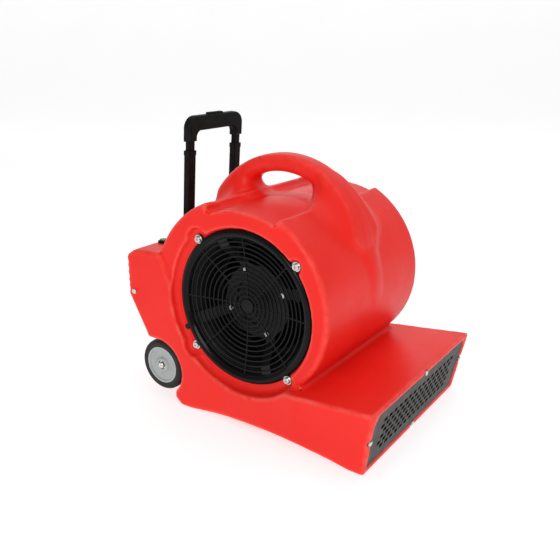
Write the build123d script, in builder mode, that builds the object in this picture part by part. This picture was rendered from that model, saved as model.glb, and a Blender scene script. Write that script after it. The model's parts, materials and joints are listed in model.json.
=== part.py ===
"""Commercial air mover: a moulded blower housing on two wheels, with a telescopic trolley handle.

Frame: +X across the machine (fan axis and wheel axle), the outlet faces -Y, +Z up.
Origin: centre of the bounding box on the floor. All sizes in millimetres.
"""
from build123d import *
import math
import os

os.makedirs("parts", exist_ok=True)

# ---------------------------------------------------------------- driving dimensions
WALL = 5.0                      # moulded shell thickness
LENGTH = 532.0                  # outlet lip to ribbed rear face
FRONT_Y = -LENGTH / 2
REAR_Y = LENGTH / 2

FAN_Y = 6.5                     # fan axis
FAN_Z = 221.5
DRUM_HALF = 168.0               # drum half width at its side discs
SPIRAL_R0 = 169.0               # scroll radius at the front of the drum
SPIRAL_GROWTH = 9.6             # radius gained per radian, over the top to the rear
DRUM_EDGE_R = 8.0               # rounding of the disc edges
DECK_CROWN_Z = 389.0            # crowned deck sunk into the drum's top under the carry handle
DECK_CROWN_Y = 8.5
DECK_R = 187.0
DECK_ENDS_Y = (-66.0, 78.0)
BACK_WALL_Y = 196.0             # rear face of the scroll's flat back wall

RECESS_R = 154.0                # recess round each intake: wide behind and below,
RECESS_SNUG_R = 139.5           # snug to the grille elsewhere
RECESS_WIDE_ARC = (131.0, 220.5, 310.0)
RECESS_DEPTH = 10.0
POCKET_R = 12.0                 # pockets round the two front screws and the two rear ones
REAR_POCKET_R = 21.0

ARCH_Y = 26.5                   # carry-handle arch: circle in the mid plane
ARCH_Z = 287.0
ARCH_R = 175.0
ARCH_BAR = 32.0
ARCH_HALF = 24.0
ARCH_REAR_Y = 172.0             # the rear leg drops straight from here to the control deck
OPENING_Y = 28.0                # finger opening under the arch
OPENING_Z = 386.0
OPENING_LENGTH = 130.0

PANEL_HALF = 174.0              # flat side panel behind and under the drum
PANEL_STEP = 8.0                # width of the sloping step between panel and disc
SNOUT_HALF = 200.0              # half width of the outlet lip at its top
SNOUT_HALF_LOW = 188.0          # and at the floor
SNOUT_TOP_Z = 118.0
SNOUT_ROOT_Z = 104.0
SNOUT_LEAN = 0.19               # outlet face leans forward by this much per unit height
FACE_Y = FRONT_Y + SNOUT_LEAN * SNOUT_TOP_Z

FOOT_FRONT_END_Y = -215.0
FOOT_REAR = (124.0, 148.0)
BELLY_RISE = 13.0               # height of the arched underside

BOX_TOP_SLOPE = 1.5             # control deck slope, degrees
BOX_TOP_Y = 246.5               # rear edge of the control deck
BOX_TOP_Z = 289.0
BOX_KNEE_Z = 200.0              # where the rear face turns forward
BOX_EDGE_R = 8.0                # rounding along the sides of the control deck
RIB_PITCH = 13.5
RIB_COUNT = 6
RIB_DEPTH = 2.5

AXLE_Y = 201.0
AXLE_Z = 65.5
AXLE_R = 6.0
TYRE_R = 50.0
TYRE_WIDTH = 25.0
HUB_R = 36.0
WHEEL_OUTER_X = 165.0
CLIP_R = 8.5                    # axle clip, sunk into the hub's boss
CLIP_DEPTH = 4.2
WELL_R = 56.0
WELL_INNER_X = 136.0

GRILLE_R = 137.0                # intake grille rim
GRILLE_RIM = 15.0
GRILLE_DISH = 13.0
GRILLE_DISH_R = 123.0
GRILLE_RINGS = 12
GRILLE_SPOKES = 8
GRILLE_BOLT_R = 141.5
GRILLE_BOLT_ANGLES = (41.0, 131.0, 221.0, 310.0)
GRILLE_LUG_ANGLE = (206.0,)
GRILLE_LUG_R = 140.0
LUG_POCKET_R = 6.5
GRILLE_RING_PITCH = 8.8
GRILLE_WIRE = 2.2
GRILLE_FACE_X = DRUM_HALF - RECESS_DEPTH
SCREW_R = 2.5
SCREW_HEAD_R = 6.0

SLOT_PITCH = 18.4               # outlet grille slots
SLOT_ROW_PITCH = 11.0
SLOT_ROW_SHIFT = 12.4
SLOT_ROWS = 6
SLOT_LENGTH = 13.4
SLOT_HEIGHT = 7.8
SLOT_FIELD_HALF = 146.0
SLOT_TOP_ROW_Z = 87.0
LIP_DEPTH = 12.0                # thick moulded lip round the outlet
PLATE_CORNERS = ((176.0, 7.0), (185.5, 97.0), (175.0, 112.0))
PLATE_CLEARANCE = 0.4
OUTLET_PLATE = 1.5
OUTLET_RECESS = 3.0

FAN_R = 118.0                   # double-inlet fan wheel
FAN_HALF_WIDTH = 92.0
FAN_BLADES = 36
FAN_BLADE_DEPTH = 20.0
FAN_DISC_X = 8.0
INLET_THROAT_R = 104.0

MOTOR_R = 66.0                  # motor inside the near half of the fan wheel
MOTOR_LENGTH = 76.0
MOTOR_X = -70.0                 # centre of the motor case
MOTOR_BOLT_R = 59.0
MOTOR_BOLT_ANGLES = (22.0, 112.0, 202.0, 292.0)
SHAFT_R = 6.0
RUNNING_GAP = 0.05

TUBE_X = 67.0                   # trolley handle
TUBE_LEAN = 4.3                 # degrees, top leaning forward
TUBE_REF_Y = 194.7              # handle axis height 460 above the floor
TUBE_REF_Z = 460.0
OUTER_TUBE = (24.0, 17.0)
MID_TUBE = (20.0, 13.4)
INNER_TUBE = (16.0, 10.0)
TUBE_WALL = 1.2
OUTER_TOP = -145.0              # stations along the handle axis, from the reference point
OUTER_BOTTOM = -313.0
MID_BOTTOM = -205.0
COLLAR_HEIGHT = 12.0
INNER_BOTTOM = -170.0
GRIP_ARM_BOTTOM = 16.5
GRIP_UNDER = 35.0
GRIP_TOP = 62.0
GRIP_HALF = 78.0
GRIP_DEPTH = 18.0
BUTTON_TOP = 65.5

SWITCH_X = (-107.0, 0.0, 107.0)
SWITCH_Y = 230.0
SWITCH_BEZEL = (17.0, 24.0)
SWITCH_BODY = (14.6, 21.6)
SWITCH_DEPTH = 18.0
SWITCH_RIM = 4.5

SIDE_SCREW_Y = 251.0
SIDE_SCREW_Z = 207.5

OUTLET_SCREWS = ((-186.0, 65.0), (186.0, 65.0), (0.0, 112.0), (0.0, 7.5))
OUTLET_SCREW_R = 2.0
OUTLET_EAR_R = 6.0

GLAND_X = 118.0                 # cord gland in the slanting rear wall
GLAND_Y = 245.5
GLAND_Z = 163.0
GLAND_R = 8.0

FAN_AXIS = Axis((0, FAN_Y, FAN_Z), (1, 0, 0))
FAN_SECTION = Plane(origin=(0, FAN_Y, FAN_Z), x_dir=(1, 0, 0), z_dir=(0, -1, 0))
GLAND_PLANE = Plane(origin=(GLAND_X, GLAND_Y, GLAND_Z), x_dir=(1, 0, 0), z_dir=(0, 74, -41))
AXLE_AXIS = Axis((0, AXLE_Y, AXLE_Z), (1, 0, 0))
AXLE_SECTION = Plane(origin=(0, AXLE_Y, AXLE_Z), x_dir=(1, 0, 0), z_dir=(0, -1, 0))


# ---------------------------------------------------------------- shared helpers
def save(part, name):
    """Label a finished piece and write it as parts/<name>.step."""
    part.label = name
    export_step(part, f"parts/{name}.step")


def side_plane(x):
    """Plane at a given x whose local axes are +Y and +Z (extrudes towards +X)."""
    return Plane(origin=(x, 0, 0), x_dir=(0, 1, 0), z_dir=(1, 0, 0))


def fan_plane(x, outward=1):
    """Plane across the fan axis at a given x, facing +X or -X, local +Y upwards."""
    return Plane(origin=(x, FAN_Y, FAN_Z), x_dir=(0, outward, 0), z_dir=(outward, 0, 0))


def scroll_radius(degrees, inset=0.0):
    """Scroll radius at an angle counted from the front, over the top, to the rear."""
    return SPIRAL_R0 + SPIRAL_GROWTH * math.radians(degrees) - inset


def scroll_point(degrees, inset=0.0):
    """Scroll outline point as (y, z)."""
    r = scroll_radius(degrees, inset)
    a = math.radians(degrees)
    return (FAN_Y - r * math.cos(a), FAN_Z + r * math.sin(a))


def deck_z(y):
    """Height of the sloping control deck at a given y."""
    return BOX_TOP_Z + (BOX_TOP_Y - y) * math.tan(math.radians(BOX_TOP_SLOPE))


def outlet_y(z):
    """The y of the outlet lip's front face at a given height."""
    return FACE_Y - SNOUT_LEAN * z


def handle_plane(station, side=0):
    """Plane square to the trolley handle's axis, at a station along it."""
    lean = math.radians(TUBE_LEAN)
    direction = (0, -math.sin(lean), math.cos(lean))
    origin = (side * TUBE_X, TUBE_REF_Y + station * direction[1], TUBE_REF_Z + station * direction[2])
    return Plane(origin=origin, x_dir=(1, 0, 0), z_dir=direction)


def handle_face(depth=0.0):
    """Plane of the handle's broad side, local +Y along its axis; depth counts to the rear."""
    lean = math.radians(TUBE_LEAN)
    origin = (0, TUBE_REF_Y + depth * math.cos(lean), TUBE_REF_Z + depth * math.sin(lean))
    return Plane(origin=origin, x_dir=(1, 0, 0), z_dir=(0, -math.cos(lean), -math.sin(lean)))


def outlet_plane(depth=0.0):
    """Plane of the leaning outlet face, local +Y up the face; depth counts inwards."""
    return Plane(origin=(0, FACE_Y + depth, 0), x_dir=(1, 0, 0), z_dir=(0, -1, -SNOUT_LEAN))


def deck_plane(x, y=SWITCH_Y):
    """Plane of the sloping control deck, local +Y down the slope to the rear."""
    slope = math.radians(BOX_TOP_SLOPE)
    return Plane(origin=(x, y, deck_z(y)), x_dir=(1, 0, 0), z_dir=(0, math.sin(slope), math.cos(slope)))


def bolt_points(radius, angles, outward=1):
    """Points on fan_plane(x, outward); the angles are counted from the front, upwards."""
    turns = [math.radians(a) for a in angles]
    return [(-outward * radius * math.cos(t), radius * math.sin(t)) for t in turns]


def mirrored(name, source):
    """Write the mirror image of a left-hand piece as its right-hand twin."""
    with BuildPart() as twin:
        mirror(source.part, about=Plane.YZ)
    save(twin.part, name)
    return twin


# ---------------------------------------------------------------- moulded housing
def scroll_outline(inset, back_y):
    """Closed scroll outline: spiral over the top, flat back, closed low inside the base."""
    first, last, step = -45, 150, 15
    points = [scroll_point(a, inset) for a in range(first, last + 1, step)]
    low_rear = (back_y, 70)
    low_front = (points[0][0] + 10, 70)
    rear_top = (back_y, FAN_Z + 60)
    spiral = Spline(points)
    Polyline([points[-1], rear_top, low_rear, low_front, points[0]])
    return spiral


def deck_recess(grow):
    """Side outline of the space above the crowned deck."""
    with Locations((DECK_ENDS_Y[0] - grow, DECK_CROWN_Z - 40)):
        Rectangle(DECK_ENDS_Y[1] - DECK_ENDS_Y[0] + 2 * grow, 120, align=(Align.MIN, Align.MIN))
    with Locations((DECK_CROWN_Y, DECK_CROWN_Z - DECK_R)):
        Circle(DECK_R - grow, mode=Mode.SUBTRACT)


def wide_recess(radius, outward):
    """Half-round edge of the intake recess's wide part, behind and below the grille."""
    start, middle, end = bolt_points(radius, RECESS_WIDE_ARC, outward)
    ThreePointArc(start, middle, end)
    Line(end, start)


def recess_pockets(grow, outward):
    """The recess's snug round part and the pockets for the grille's screws."""
    Circle(RECESS_SNUG_R + grow)
    for angles, pocket_r in (
        (GRILLE_BOLT_ANGLES[::3], POCKET_R),
        (GRILLE_BOLT_ANGLES[1:3], REAR_POCKET_R),
        (GRILLE_LUG_ANGLE, LUG_POCKET_R),
    ):
        with Locations(*bolt_points(GRILLE_BOLT_R, angles, outward)):
            Circle(pocket_r + grow)


def plate_outline():
    """Corners of the outlet grille's plate, on outlet_plane."""
    return [*PLATE_CORNERS, *((-x, z) for x, z in reversed(PLATE_CORNERS))]


def base_section(half_top, half_low, inset):
    """Corners of the base's trapezium section, from the floor to above the snout."""
    top_z = SNOUT_TOP_Z + 6
    return [
        (-half_low + inset, -1),
        (half_low - inset, -1),
        (half_top - inset, top_z),
        (-half_top + inset, top_z),
    ]


def across(y):
    """Plane across the machine at a given y, whose local axes are +X and +Z."""
    return Plane(origin=(0, y, 0), x_dir=(1, 0, 0), z_dir=(0, -1, 0))


def base_outline(inset):
    """Side outline of the base: arched belly, feet, leaning outlet face and sloping top."""
    belly_front = (FOOT_FRONT_END_Y, inset)
    belly_rear = (FOOT_REAR[0], inset)
    belly_mid = ((belly_front[0] + belly_rear[0]) / 2, BELLY_RISE + inset)
    front_reach = -LIP_DEPTH if inset else 0.0
    ThreePointArc(belly_front, belly_mid, belly_rear)
    Polyline(
        [
            belly_rear,
            (FOOT_REAR[1], inset),
            (FOOT_REAR[1] + 15 - inset, 12 + inset),
            (FOOT_REAR[1] + 15 - inset, 105 - inset),
            (-105, SNOUT_ROOT_Z - inset),
            (outlet_y(SNOUT_TOP_Z) - front_reach, SNOUT_TOP_Z - inset),
            (outlet_y(inset) - front_reach, inset),
            belly_front,
        ]
    )


BASE_STATIONS = (
    (FRONT_Y - 14, SNOUT_HALF, SNOUT_HALF_LOW),
    (-110.0, 194.0, 181.0),
    (45.0, PANEL_HALF + 1.5, PANEL_HALF + 0.5),
    (FOOT_REAR[1] + 16, PANEL_HALF, PANEL_HALF - 1.0),
)


def rear_outline(inset):
    """Side outline of the control box and the axle housing under it."""
    slope = math.tan(math.radians(BOX_TOP_SLOPE))
    top_front_y = 170.0
    Polyline(
        [
            (FOOT_REAR[1] - 10, 24 + inset),
            (210, 24 + inset),
            (225 - inset, 42),
            (225 - inset, 126),
            (REAR_Y - inset, BOX_KNEE_Z + inset * 0.4),
            (REAR_Y - inset, BOX_TOP_Z - 13 - inset * 0.3),
            (BOX_TOP_Y - inset * 0.4, BOX_TOP_Z - inset),
            (top_front_y, BOX_TOP_Z - inset + (BOX_TOP_Y - top_front_y) * slope),
            (100, 250),
            (100, 60),
        ],
        close=True,
    )


def disc_area(step):
    """Side outline of the area where the drum's disc shows, up to the side panel's edge."""
    return [
        (FAN_Y - 100, FAN_Z - 100),
        (FAN_Y + 140 + step, FAN_Z - 10),
        (FAN_Y + 151 + step, FAN_Z + 17),
        (FAN_Y + 162 + step, FAN_Z + 45),
        (FAN_Y + 173 + step, FAN_Z + 64),
        (FAN_Y + 190 + step, FAN_Z + 80),
        (FAN_Y + 120, FAN_Z + 120),
        (FAN_Y - 260, FAN_Z + 120),
        (FAN_Y - 260, FAN_Z - 100),
    ]


def wheel_well(grow):
    """Side outline of the wheel wells: round over the tyre, open to the rear and below."""
    with Locations((AXLE_Y, AXLE_Z)):
        Circle(WELL_R + grow)
    with Locations((AXLE_Y, AXLE_Z - 100)):
        Rectangle(160, 100 + WELL_R + grow, align=(Align.MIN, Align.MIN))
    with Locations((AXLE_Y - 37.5 - grow, -20)):
        Rectangle(200, 44, align=(Align.MIN, Align.MIN))


with BuildPart() as cavity_front:
    # air space: scroll, lower body and the duct to the outlet
    for y, half_top, half_low in BASE_STATIONS:
        with BuildSketch(across(y)):
            Polygon(*base_section(half_top, half_low, WALL), align=None)
    loft(ruled=True)
    with BuildSketch(side_plane(-220)):
        with BuildLine():
            base_outline(WALL)
        make_face()
    extrude(amount=440, mode=Mode.INTERSECT)
    with BuildSketch(side_plane(-DRUM_HALF + WALL)):
        with BuildLine():
            scroll_outline(WALL, BACK_WALL_Y - WALL)
        make_face()
    extrude(amount=2 * (DRUM_HALF - WALL))
    # material left behind each intake recess, under the deck and round the wheel wells
    for side in (-1, 1):
        with BuildSketch(fan_plane(side * (GRILLE_FACE_X - WALL), side)):
            with BuildLine():
                wide_recess(RECESS_R + WALL, side)
            make_face()
            recess_pockets(WALL, side)
        extrude(amount=60, mode=Mode.SUBTRACT)
        with BuildSketch(side_plane(side * (WELL_INNER_X - WALL))):
            wheel_well(WALL)
        extrude(amount=side * 80, mode=Mode.SUBTRACT)
    with BuildSketch(side_plane(-220)):
        deck_recess(WALL)
    extrude(amount=440, mode=Mode.SUBTRACT)
    with BuildSketch(Plane.XZ.offset(-(BACK_WALL_Y - WALL))):
        Rectangle(500, 900)
    extrude(amount=-100, mode=Mode.SUBTRACT)

with BuildPart() as cavity_rear:
    # dry space behind the scroll: controls, handle tubes and axle
    with BuildSketch(side_plane(-PANEL_HALF + WALL)):
        with BuildLine():
            rear_outline(WALL)
        make_face()
    extrude(amount=2 * (PANEL_HALF - WALL))
    with BuildSketch(Plane.XZ.offset(-BACK_WALL_Y)):
        Rectangle(500, 900)
    extrude(amount=300, mode=Mode.SUBTRACT)
    for side in (-1, 1):
        with BuildSketch(side_plane(side * (WELL_INNER_X - WALL))):
            wheel_well(WALL)
        extrude(amount=side * 80, mode=Mode.SUBTRACT)


with BuildPart() as drum:
    # scroll-shaped drum with rounded disc edges and a crowned deck under the carry handle
    with BuildSketch(side_plane(-DRUM_HALF)):
        with BuildLine():
            scroll_outline(0, BACK_WALL_Y)
        make_face()
    extrude(amount=2 * DRUM_HALF)
    fillet(drum.faces().filter_by(Axis.X).edges().filter_by(GeomType.BSPLINE), DRUM_EDGE_R)
    with BuildSketch(side_plane(-220)):
        deck_recess(0)
    extrude(amount=440, mode=Mode.SUBTRACT)

with BuildPart() as arch:
    # carry-handle arch with its finger opening
    with BuildSketch(side_plane(-ARCH_HALF)):
        with Locations((ARCH_Y, ARCH_Z)):
            Circle(ARCH_R)
        with Locations((ARCH_REAR_Y, ARCH_Z + 15)):
            Rectangle(500, 500, align=(Align.MAX, Align.MIN), mode=Mode.INTERSECT)
    extrude(amount=2 * ARCH_HALF)
    with BuildSketch(side_plane(-60)) as finger_opening:
        with Locations((ARCH_Y, ARCH_Z)):
            Circle(ARCH_R - ARCH_BAR)
        with Locations((OPENING_Y, OPENING_Z)):
            Rectangle(OPENING_LENGTH, 80, align=(Align.CENTER, Align.MIN), mode=Mode.INTERSECT)
        fillet(finger_opening.vertices(), 10)
    extrude(amount=120, mode=Mode.SUBTRACT)
    fillet(arch.faces().filter_by(Axis.X).edges().filter_by(GeomType.CIRCLE), 11)

with BuildPart() as control_box:
    # control box and axle housing, rounded along the deck's sides
    with BuildSketch(side_plane(-PANEL_HALF)):
        with BuildLine():
            rear_outline(0)
        make_face()
    extrude(amount=2 * PANEL_HALF)
    deck_edges = control_box.faces().sort_by(Axis.Z)[-1].edges().group_by(Axis.X)
    fillet(deck_edges[0] + deck_edges[-1], BOX_EDGE_R)

with BuildPart() as housing:
    # base and snout, flared towards the outlet
    for y, half_top, half_low in BASE_STATIONS:
        with BuildSketch(across(y)):
            Polygon(*base_section(half_top, half_low, 0), align=None)
    loft(ruled=True)
    with BuildSketch(side_plane(-220)):
        with BuildLine():
            base_outline(0)
        make_face()
    extrude(amount=440, mode=Mode.INTERSECT)
    add(control_box.part)
    # the raised side panels step down to the drum's discs
    for side in (-1, 1):
        with BuildSketch(side_plane(side * DRUM_HALF)):
            Polygon(*disc_area(0), align=None)
        with BuildSketch(side_plane(side * PANEL_HALF)):
            Polygon(*disc_area(PANEL_STEP), align=None)
        loft(ruled=True, mode=Mode.SUBTRACT)
        with BuildSketch(side_plane(side * PANEL_HALF)):
            Polygon(*disc_area(PANEL_STEP), align=None)
        extrude(amount=side * 60, mode=Mode.SUBTRACT)
    add(drum.part)
    add(arch.part)
    # hollow inside
    add(cavity_front.part, mode=Mode.SUBTRACT)
    add(cavity_rear.part, mode=Mode.SUBTRACT)
    # outlet mouth: seat for the grille's plate and ears, and the air opening inside it
    with BuildSketch(outlet_plane(OUTLET_RECESS).offset(-OUTLET_PLATE)):
        Polygon(*plate_outline(), align=None)
        offset(amount=PLATE_CLEARANCE)
        with Locations(*OUTLET_SCREWS):
            Circle(OUTLET_EAR_R + 0.5)
    extrude(amount=20, mode=Mode.SUBTRACT)
    with BuildSketch(outlet_plane(OUTLET_RECESS)):
        Polygon(*plate_outline(), align=None)
        offset(amount=-4, kind=Kind.INTERSECTION)
        with Locations(*OUTLET_SCREWS):
            Circle(OUTLET_EAR_R, mode=Mode.SUBTRACT)
    extrude(amount=-LIP_DEPTH - 4, mode=Mode.SUBTRACT)
    with BuildSketch(outlet_plane(OUTLET_RECESS)):
        with Locations(*OUTLET_SCREWS):
            Circle(OUTLET_SCREW_R)
    extrude(amount=-12, mode=Mode.SUBTRACT)
    # ribbed rear face
    with BuildSketch(side_plane(-PANEL_HALF - 1)):
        for i in range(RIB_COUNT):
            with Locations((REAR_Y + 1.2, BOX_KNEE_Z + 9 + i * RIB_PITCH)):
                Circle(RIB_DEPTH + 1.2)
    extrude(amount=2 * PANEL_HALF + 2, mode=Mode.SUBTRACT)
    # openings in the control deck for the handle tubes and switches, and the gland's hole
    for side in (-1, 1):
        with BuildSketch(handle_plane(OUTER_TOP - 55, side)):
            RectangleRounded(OUTER_TUBE[0] + 0.4, OUTER_TUBE[1] + 0.4, 3.2)
        extrude(amount=50, mode=Mode.SUBTRACT)
    for x in SWITCH_X:
        with BuildSketch(deck_plane(x)):
            Rectangle(SWITCH_BODY[0] + 0.2, SWITCH_BODY[1] + 0.2)
        extrude(amount=-SWITCH_DEPTH - 0.5, mode=Mode.SUBTRACT)
    with BuildSketch(GLAND_PLANE):
        Circle(GLAND_R)
    extrude(amount=-12, mode=Mode.SUBTRACT)
    for side in (-1, 1):
        # intake recess, intake hole and bolt pockets
        with BuildSketch(fan_plane(side * GRILLE_FACE_X, side)):
            with BuildLine():
                wide_recess(RECESS_R, side)
            make_face()
            recess_pockets(0, side)
        extrude(amount=80, mode=Mode.SUBTRACT)
        with BuildSketch(fan_plane(side * (GRILLE_FACE_X - 20), side)):
            Circle(FAN_R + 6)
        extrude(amount=60, mode=Mode.SUBTRACT)
        with BuildSketch(fan_plane(side * (GRILLE_FACE_X - 20), side)):
            with Locations(*bolt_points(GRILLE_BOLT_R, GRILLE_BOLT_ANGLES, side)):
                Circle(SCREW_R)
        extrude(amount=60, mode=Mode.SUBTRACT)
        # wheel wells, axle hole and side screw hole
        with BuildSketch(side_plane(side * WELL_INNER_X)):
            wheel_well(0)
        extrude(amount=side * 80, mode=Mode.SUBTRACT)
        with BuildSketch(side_plane(side * (WELL_INNER_X - 10))):
            with Locations((AXLE_Y, AXLE_Z)):
                Circle(AXLE_R)
        extrude(amount=side * 20, mode=Mode.SUBTRACT)
        with BuildSketch(side_plane(0)):
            with Locations((AXLE_Y, AXLE_Z)):
                Circle(AXLE_R + 1.5)
        extrude(amount=side * (WELL_INNER_X - WALL), mode=Mode.SUBTRACT)
        with BuildSketch(side_plane(side * (PANEL_HALF - 15))):
            with Locations((SIDE_SCREW_Y, SIDE_SCREW_Z)):
                Circle(SCREW_R)
        extrude(amount=side * 20, mode=Mode.SUBTRACT)

save(housing.part, "housing")


# ---------------------------------------------------------------- intake grilles and inlet rings
def dish_x(r):
    """The x of the left grille's dished face at a radius from the fan axis."""
    return -GRILLE_FACE_X - 2.6 + GRILLE_DISH * (1 - (r / GRILLE_DISH_R) ** 2)


with BuildPart() as intake_grille_left:
    # concentric wires on the dish
    with BuildSketch(FAN_SECTION):
        for i in range(GRILLE_RINGS):
            ring_r = 18 + GRILLE_RING_PITCH * i
            with Locations((dish_x(ring_r), ring_r)):
                Rectangle(GRILLE_WIRE, GRILLE_WIRE)
    revolve(axis=FAN_AXIS)
    # radial wires behind them, and the centre cap
    for i in range(GRILLE_SPOKES):
        with BuildSketch(FAN_SECTION.rotated((i * 360 / GRILLE_SPOKES, 0, 0))):
            with BuildLine():
                near, middle, far = 5.0, GRILLE_DISH_R / 2, GRILLE_DISH_R + 0.6
                ThreePointArc((dish_x(far), far), (dish_x(middle), middle), (dish_x(near), near))
                Line((dish_x(near), near), (dish_x(near) + GRILLE_WIRE, near))
                ThreePointArc(
                    (dish_x(near) + GRILLE_WIRE, near),
                    (dish_x(middle) + GRILLE_WIRE, middle),
                    (dish_x(far) + GRILLE_WIRE, far),
                )
                Line((dish_x(far) + GRILLE_WIRE, far), (dish_x(far), far))
            make_face()
        extrude(amount=GRILLE_WIRE / 2, both=True)
    with BuildSketch(fan_plane(dish_x(0) - 1.6)):
        Circle(12)
    extrude(amount=4.4)
    # rim with its screw ears and the small lug
    with BuildSketch(FAN_SECTION):
        with BuildLine():
            face_x = -GRILLE_FACE_X
            Line((face_x, GRILLE_R - GRILLE_RIM), (face_x, GRILLE_R))
            Line((face_x, GRILLE_R), (face_x - 3.5, GRILLE_R))
            ThreePointArc(
                (face_x - 3.5, GRILLE_R), (face_x - 8, GRILLE_R - 6), (face_x - 5.5, GRILLE_R - 13)
            )
            Line((face_x - 5.5, GRILLE_R - 13), (face_x - 3.5, GRILLE_R - GRILLE_RIM))
            Line((face_x - 3.5, GRILLE_R - GRILLE_RIM), (face_x, GRILLE_R - GRILLE_RIM))
        make_face()
    revolve(axis=FAN_AXIS)
    with BuildSketch(fan_plane(-GRILLE_FACE_X, -1)):
        with Locations(*bolt_points(GRILLE_BOLT_R, GRILLE_BOLT_ANGLES, -1)):
            Circle(9)
        Circle(GRILLE_R - 4, mode=Mode.SUBTRACT)
    extrude(amount=3)
    with BuildSketch(fan_plane(-GRILLE_FACE_X, -1)):
        with Locations(*bolt_points(GRILLE_LUG_R, GRILLE_LUG_ANGLE, -1)):
            Circle(5)
    extrude(amount=6)
    # screw holes, countersunk flat for the washers
    with BuildSketch(fan_plane(-GRILLE_FACE_X - 3, -1)):
        with Locations(*bolt_points(GRILLE_BOLT_R, GRILLE_BOLT_ANGLES, -1)):
            Circle(8.2)
    extrude(amount=12, mode=Mode.SUBTRACT)
    with BuildSketch(fan_plane(-GRILLE_FACE_X, -1)):
        with Locations(*bolt_points(GRILLE_BOLT_R, GRILLE_BOLT_ANGLES, -1)):
            Circle(SCREW_R + 0.1)
    extrude(amount=12, mode=Mode.SUBTRACT)
save(intake_grille_left.part, "intake_grille_left")
mirrored("intake_grille_right", intake_grille_left)

with BuildPart() as grille_washers_left:
    with BuildSketch(fan_plane(-GRILLE_FACE_X - 3, -1)):
        with Locations(*bolt_points(GRILLE_BOLT_R, GRILLE_BOLT_ANGLES, -1)):
            Circle(8)
            Circle(SCREW_R + 0.1, mode=Mode.SUBTRACT)
    extrude(amount=1.2)
save(grille_washers_left.part, "grille_washers_left")
mirrored("grille_washers_right", grille_washers_left)

with BuildPart() as grille_screws_left:
    with BuildSketch(fan_plane(-GRILLE_FACE_X - 4.2, -1)):
        with Locations(*bolt_points(GRILLE_BOLT_R, GRILLE_BOLT_ANGLES, -1)):
            Circle(SCREW_HEAD_R)
    extrude(amount=4.2)
    fillet(grille_screws_left.faces().group_by(Axis.X)[0].edges(), 1.8)
    with BuildSketch(fan_plane(-GRILLE_FACE_X - 8.4, -1)):
        with Locations(*bolt_points(GRILLE_BOLT_R, GRILLE_BOLT_ANGLES, -1)):
            Rectangle(6.5, 1.3)
            Rectangle(1.3, 6.5)
    extrude(amount=-2, mode=Mode.SUBTRACT)
    with BuildSketch(fan_plane(-GRILLE_FACE_X - 4.2, 1)):
        with Locations(*bolt_points(GRILLE_BOLT_R, GRILLE_BOLT_ANGLES)):
            Circle(SCREW_R - 0.05)
    extrude(amount=14)
save(grille_screws_left.part, "grille_screws_left")
mirrored("grille_screws_right", grille_screws_left)

with BuildPart() as inlet_ring_left:
    # sheet-metal inlet ring behind the side wall, with a flange that takes the grille screws
    flange_x = -GRILLE_FACE_X + WALL
    with BuildSketch(FAN_SECTION):
        with BuildLine():
            Line((flange_x, 148), (flange_x, 122))
            ThreePointArc((flange_x, 122), (flange_x + 14, 110), (flange_x + 36, INLET_THROAT_R))
            Line((flange_x + 36, INLET_THROAT_R), (flange_x + 54, INLET_THROAT_R))
            Line((flange_x + 54, INLET_THROAT_R), (flange_x + 54, INLET_THROAT_R + 1.2))
            Line((flange_x + 54, INLET_THROAT_R + 1.2), (flange_x + 36, INLET_THROAT_R + 1.2))
            ThreePointArc(
                (flange_x + 36, INLET_THROAT_R + 1.2), (flange_x + 14.6, 111.1), (flange_x + 1.2, 122.5)
            )
            Line((flange_x + 1.2, 122.5), (flange_x + 1.2, 148))
            Line((flange_x + 1.2, 148), (flange_x, 148))
        make_face()
    revolve(axis=FAN_AXIS)
    with BuildSketch(fan_plane(flange_x - 2, 1)):
        with Locations(*bolt_points(GRILLE_BOLT_R, GRILLE_BOLT_ANGLES)):
            Circle(SCREW_R)
    extrude(amount=6, mode=Mode.SUBTRACT)
save(inlet_ring_left.part, "inlet_ring_left")
mirrored("inlet_ring_right", inlet_ring_left)

# ---------------------------------------------------------------- outlet grille
with BuildPart() as outlet_grille:
    with BuildSketch(outlet_plane(OUTLET_RECESS)):
        Polygon(*plate_outline(), align=None)
        with Locations(*OUTLET_SCREWS):
            Circle(OUTLET_EAR_R)
            Circle(OUTLET_SCREW_R + 0.1, mode=Mode.SUBTRACT)
        for row in range(SLOT_ROWS):
            first = -SLOT_FIELD_HALF + (SLOT_ROW_SHIFT * row + SLOT_LENGTH / 2) % SLOT_PITCH
            slot_z = SLOT_TOP_ROW_Z - row * SLOT_ROW_PITCH
            count = int((SLOT_FIELD_HALF - SLOT_LENGTH / 2 - first) / SLOT_PITCH) + 1
            with Locations([(first + i * SLOT_PITCH, slot_z) for i in range(count)]):
                RectangleRounded(SLOT_LENGTH, SLOT_HEIGHT, 1.6, mode=Mode.SUBTRACT)
    extrude(amount=-OUTLET_PLATE)
save(outlet_grille.part, "outlet_grille")

with BuildPart() as outlet_screws:
    with BuildSketch(outlet_plane(OUTLET_RECESS)):
        with Locations(*OUTLET_SCREWS):
            Circle(4.5)
    extrude(amount=3.0)
    outlet_normal = Axis(outlet_plane().origin, outlet_plane().z_dir)
    fillet(outlet_screws.faces().sort_by(outlet_normal)[-4:].edges(), 1.2)
    with BuildSketch(outlet_plane(OUTLET_RECESS)):
        with Locations(*OUTLET_SCREWS):
            Circle(OUTLET_SCREW_R - 0.05)
    extrude(amount=-10)
save(outlet_screws.part, "outlet_screws")

# ---------------------------------------------------------------- motor
MOTOR_FRONT_X = MOTOR_X - MOTOR_LENGTH / 2
MOTOR_BACK_X = MOTOR_X + MOTOR_LENGTH / 2
BELL = 10.0
BEARING_R = 14.0
BEARING_WIDTH = 9.0

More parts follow.
